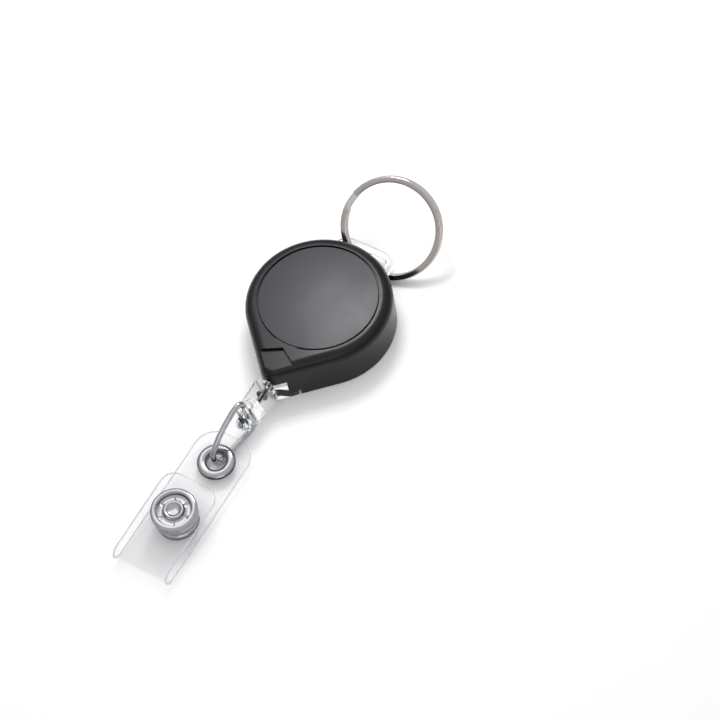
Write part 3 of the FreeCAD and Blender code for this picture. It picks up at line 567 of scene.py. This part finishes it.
studLine = [(snap["post"] + 0.02, top + 0.02), (studEdge - 0.08, top + 0.02), (studEdge, top + 0.12),
            (studEdge - 0.06, top + 0.35), (studEdge - 0.5, top + snap["seat"]),
            (head + 0.2, top + snap["seat"]), (head, top + 1.1), (head + 0.1, top + 1.55),
            (head + 0.15, top + 1.9), (head - 0.05, top + 2.15), (head - 0.5, top + 2.3), (0, top + 2.3),
            (0, top + snap["seat"] + 0.02), (snap["post"] + 0.02, top + snap["seat"] + 0.02)]
finish(strapTurned("snapStud", studLine, snap["y"], 72), nickelPlate, "strap", "nickel", "snap_stud")
postLine = [(0, under - snap["seat"]), (studEdge - 0.75, under - snap["seat"]), (studEdge - 0.3, under - 0.6),
            (studEdge, under - 0.25), (studEdge, under - 0.02), (snap["post"], under - 0.02),
            (snap["post"], top + snap["seat"]), (0, top + snap["seat"])]
finish(strapTurned("snapPost", postLine, snap["y"], 72), nickelPlate, "strap", "nickel", "snap_post")


# split ring: flat wire wound through nearly two turns, its ends stepping over each other

ring = {"x": 4.3, "y": 24.3, "z": 9.0, "tilt": 44.8, "yaw": 11.7, "radius": 11.15, "width": 1.5, "coil": 0.95,
        "start": 168.0, "sweep": 700.0, "step": 26.0, "edge": 0.34}


def ringCoil():
    # a circle run through its sweep; its height along the ring's own axis stays on the lower coil, climbs through
    # one short smooth step and stays on the upper coil
    turn = np.radians(ring["start"]) + np.linspace(0, math.radians(ring["sweep"]), 380)
    middle = math.radians(ring["start"] + ring["sweep"] / 2)
    climb = np.clip((turn - middle) / math.radians(ring["step"]) + 0.5, 0, 1)
    lift = (climb * climb * (3 - 2 * climb) - 0.5) * ring["coil"]
    flat = np.stack([ring["radius"] * np.cos(turn), ring["radius"] * np.sin(turn), lift], -1)
    yaw, tilt = math.radians(ring["yaw"]), math.radians(ring["tilt"])
    about = (np.array([[math.cos(yaw), -math.sin(yaw), 0], [math.sin(yaw), math.cos(yaw), 0], [0, 0, 1]])
             @ np.array([[1, 0, 0], [0, math.cos(tilt), -math.sin(tilt)], [0, math.sin(tilt), math.cos(tilt)]]))
    path = (flat @ about.T + np.array([ring["x"], ring["y"], ring["z"]])) * mm
    section = softBox((ring["coil"] - 0.02) / 2, ring["width"] / 2, ring["edge"], 6) * mm
    return sweep("splitRing", path, section, about[:, 2], sharp=55)


finish(ringCoil(), ringNickel, "ring", "ring_steel", "split_ring")


# cord: the lead that is pulled out, and the stopper knot with its tail

cord = {"radius": 0.5, "height": 5.4, "nose": 21.98, "knotY": 24.9, "knotRadius": 1.35, "knotStrand": 0.43,
        "tail": 1.5}


def cordLead():
    # a straight round cord from just inside the nose to the knot
    y = -np.linspace(cord["nose"] - 0.02, cord["knotY"] - cord["knotRadius"] * 0.55, 40)
    path = np.stack([np.zeros(40), y, np.full(40, cord["height"])], -1) * mm
    return sweep("cordLead", path, roundSection(cord["radius"] * mm, 16), (1, 0, 0))


def knotPath():
    # an overhand knot: x and height go as a circle plus a doubled circle, so that the cord crosses itself three
    # times, and the length direction waves three times as it goes round; all of it inside the knot's ball
    t = np.linspace(0, 2 * math.pi, 150)
    reach = (cord["knotRadius"] - cord["knotStrand"]) / 3.0
    x = (np.sin(t) + 2 * np.sin(2 * t)) * reach
    z = (np.cos(t) - 2 * np.cos(2 * t)) * reach
    y = -np.sin(3 * t) * reach * 1.1
    return (np.stack([x, y, z], -1) + np.array([0, -cord["knotY"], cord["height"]])) * mm


lead = cordLead()
lead.data.materials.append(cordBlack)
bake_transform(lead)
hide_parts("cord_lead")
knotLine = knotPath()
knot = sweep("cordKnot", knotLine[:-1], roundSection(cord["knotStrand"] * mm, 14), (0.13, 0.98, 0.17),
             closedPath=True, sharp=80)
finish(knot, cordBlack, "cord_end", "cord_black", "cord_knot")
tailY = -(cord["knotY"] + np.linspace(0.2, cord["knotRadius"] * 0.8 + cord["tail"], 14))
tailTaper = np.concatenate([np.ones(11), [0.98, 0.92, 0.8]])[:, None, None]
tail = sweep("cordTail", np.stack([np.zeros(14), tailY, np.full(14, cord["height"])], -1) * mm,
             roundSection(cord["radius"] * mm, 14)[None] * tailTaper, (1, 0, 0))
finish(tail, cordBlack, "cord_end", "cord_black", "cord_knot")


# wound cord: about twelve turns, three layers on the drum

winding = {"drum": 9.6, "outer": 12.6, "low": 2.52, "high": 6.38, "turns": 12.33, "rows": 4}


def woundCord():
    # the radius steps out one cord each time the height has crossed the drum; the height runs to and fro
    t = np.linspace(0, winding["turns"], 1500)
    layer = t / winding["rows"]
    whole = np.floor(layer)
    part = layer - whole
    rise = np.clip((part - 0.94) / 0.06, 0, 1)
    radius = winding["drum"] + 0.02 + cord["radius"] * 0.98 + (whole + rise * rise * (3 - 2 * rise)) * 0.985
    radius = np.minimum(radius, winding["outer"] - cord["radius"] * 0.94)
    cross = np.where(whole % 2 == 0, part, 1 - part)
    bottom, top = winding["low"] + cord["radius"] * 0.95, winding["high"] - cord["radius"] * 0.95
    turn = -2 * math.pi * t
    path = np.stack([radius * np.cos(turn), radius * np.sin(turn), bottom + (top - bottom) * cross], -1) * mm
    return sweep("woundCord", path, roundSection(cord["radius"] * 0.94 * mm, 10), (0, 0, 1))


finish(woundCord(), cordBlack, "spool", "cord_black", "cord_winding")
print("stage: metal, ring and cord")


# floor, light and camera

stageSizes = {"floorHalf": 4.0, "floorZ": -0.00005, "low": 0.30, "middle": 0.66, "high": 1.04}
lightSizes = {      # place, target, wide, tall, power
    "keyBox": ((-0.32, 0.20, 0.50), (0, -0.01, 0), 0.34, 0.34, 0.55),
    "fillBox": ((0.30, -0.36, 0.34), (0, -0.02, 0), 0.30, 0.20, 0.20),
    "labelGlow": ((-0.026, 0.048, 0.115), (0.010, -0.005, 0.0109), 0.036, 0.036, 0.062),
}
floorMesh = bpy.data.meshes.new("floor")
half, floorZ = stageSizes["floorHalf"], stageSizes["floorZ"]
floorMesh.from_pydata([(-half, -half, floorZ), (half, -half, floorZ), (half, half, floorZ), (-half, half, floorZ)],
                      [], [(0, 1, 2, 3)])
floor = bpy.data.objects.new("floor", floorMesh)
bpy.context.scene.collection.objects.link(floor)
floorPale = newMaterial("floorPale", {"Base Color": (0.955, 0.955, 0.96, 1), "Roughness": 0.7})[0]
floorMesh.materials.append(floorPale)

world = bpy.data.worlds.new("studio")
bpy.context.scene.world = world
world.use_nodes = True
sky = next(node for node in world.node_tree.nodes if node.type == "BACKGROUND")
sky.inputs["Strength"].default_value = 1.0
worldTree = world.node_tree
direction, split = worldTree.nodes.new("ShaderNodeTexCoord"), worldTree.nodes.new("ShaderNodeSeparateXYZ")
ramp = worldTree.nodes.new("ShaderNodeValToRGB")        # dark near the horizon, bright overhead
worldTree.links.new(direction.outputs["Generated"], split.inputs[0])
worldTree.links.new(split.outputs["Z"], ramp.inputs["Fac"])
ramp.color_ramp.elements.new(0.55)
for element, where, level in zip(ramp.color_ramp.elements, (0.05, 0.5, 0.86), ("low", "middle", "high")):
    element.position, element.color = where, (stageSizes[level],) * 3 + (1,)
worldTree.links.new(ramp.outputs["Color"], sky.inputs["Color"])


def softbox(name, place, target, wide, tall, power):
    data = bpy.data.lights.new(name, "AREA")
    data.shape, data.size, data.size_y, data.energy = "RECTANGLE", wide, tall, power
    light = bpy.data.objects.new(name, data)
    bpy.context.scene.collection.objects.link(light)
    light.location = place
    light.rotation_euler = (Vector(target) - Vector(place)).to_track_quat("-Z", "Y").to_euler()


for lightName, values in lightSizes.items():
    softbox(lightName, *values)

cameraSizes = {"right": (0.8515, 0.5140, -0.1035), "up": (-0.3915, 0.7546, 0.5266),
               "back": (0.3487, -0.4079, 0.8438),
               "shiftRight": 8.1525, "shiftUp": -8.1484, "away": 620.0, "lens": 138.44}
axisRight, axisUp, axisBack = (np.array(cameraSizes[key]) for key in ("right", "up", "back"))
eye = (axisRight * cameraSizes["shiftRight"] + axisUp * cameraSizes["shiftUp"] + axisBack * cameraSizes["away"]) * mm
cameraData = bpy.data.cameras.new("camera")
cameraData.lens, cameraData.sensor_width = cameraSizes["lens"], 36.0
cameraData.clip_start, cameraData.clip_end = 0.01, 20.0
camera = bpy.data.objects.new("camera", cameraData)
bpy.context.scene.collection.objects.link(camera)
turnRows = np.stack([axisRight, axisUp, axisBack], 1).tolist()
camera.matrix_world = Matrix([[*row, where] for row, where in zip(turnRows, eye.tolist())] + [[0, 0, 0, 1]])
bpy.context.scene.camera = camera
bpy.context.scene.view_settings.view_transform = "Standard"
print("stage: light and camera")

bpy.context.view_layer.update()
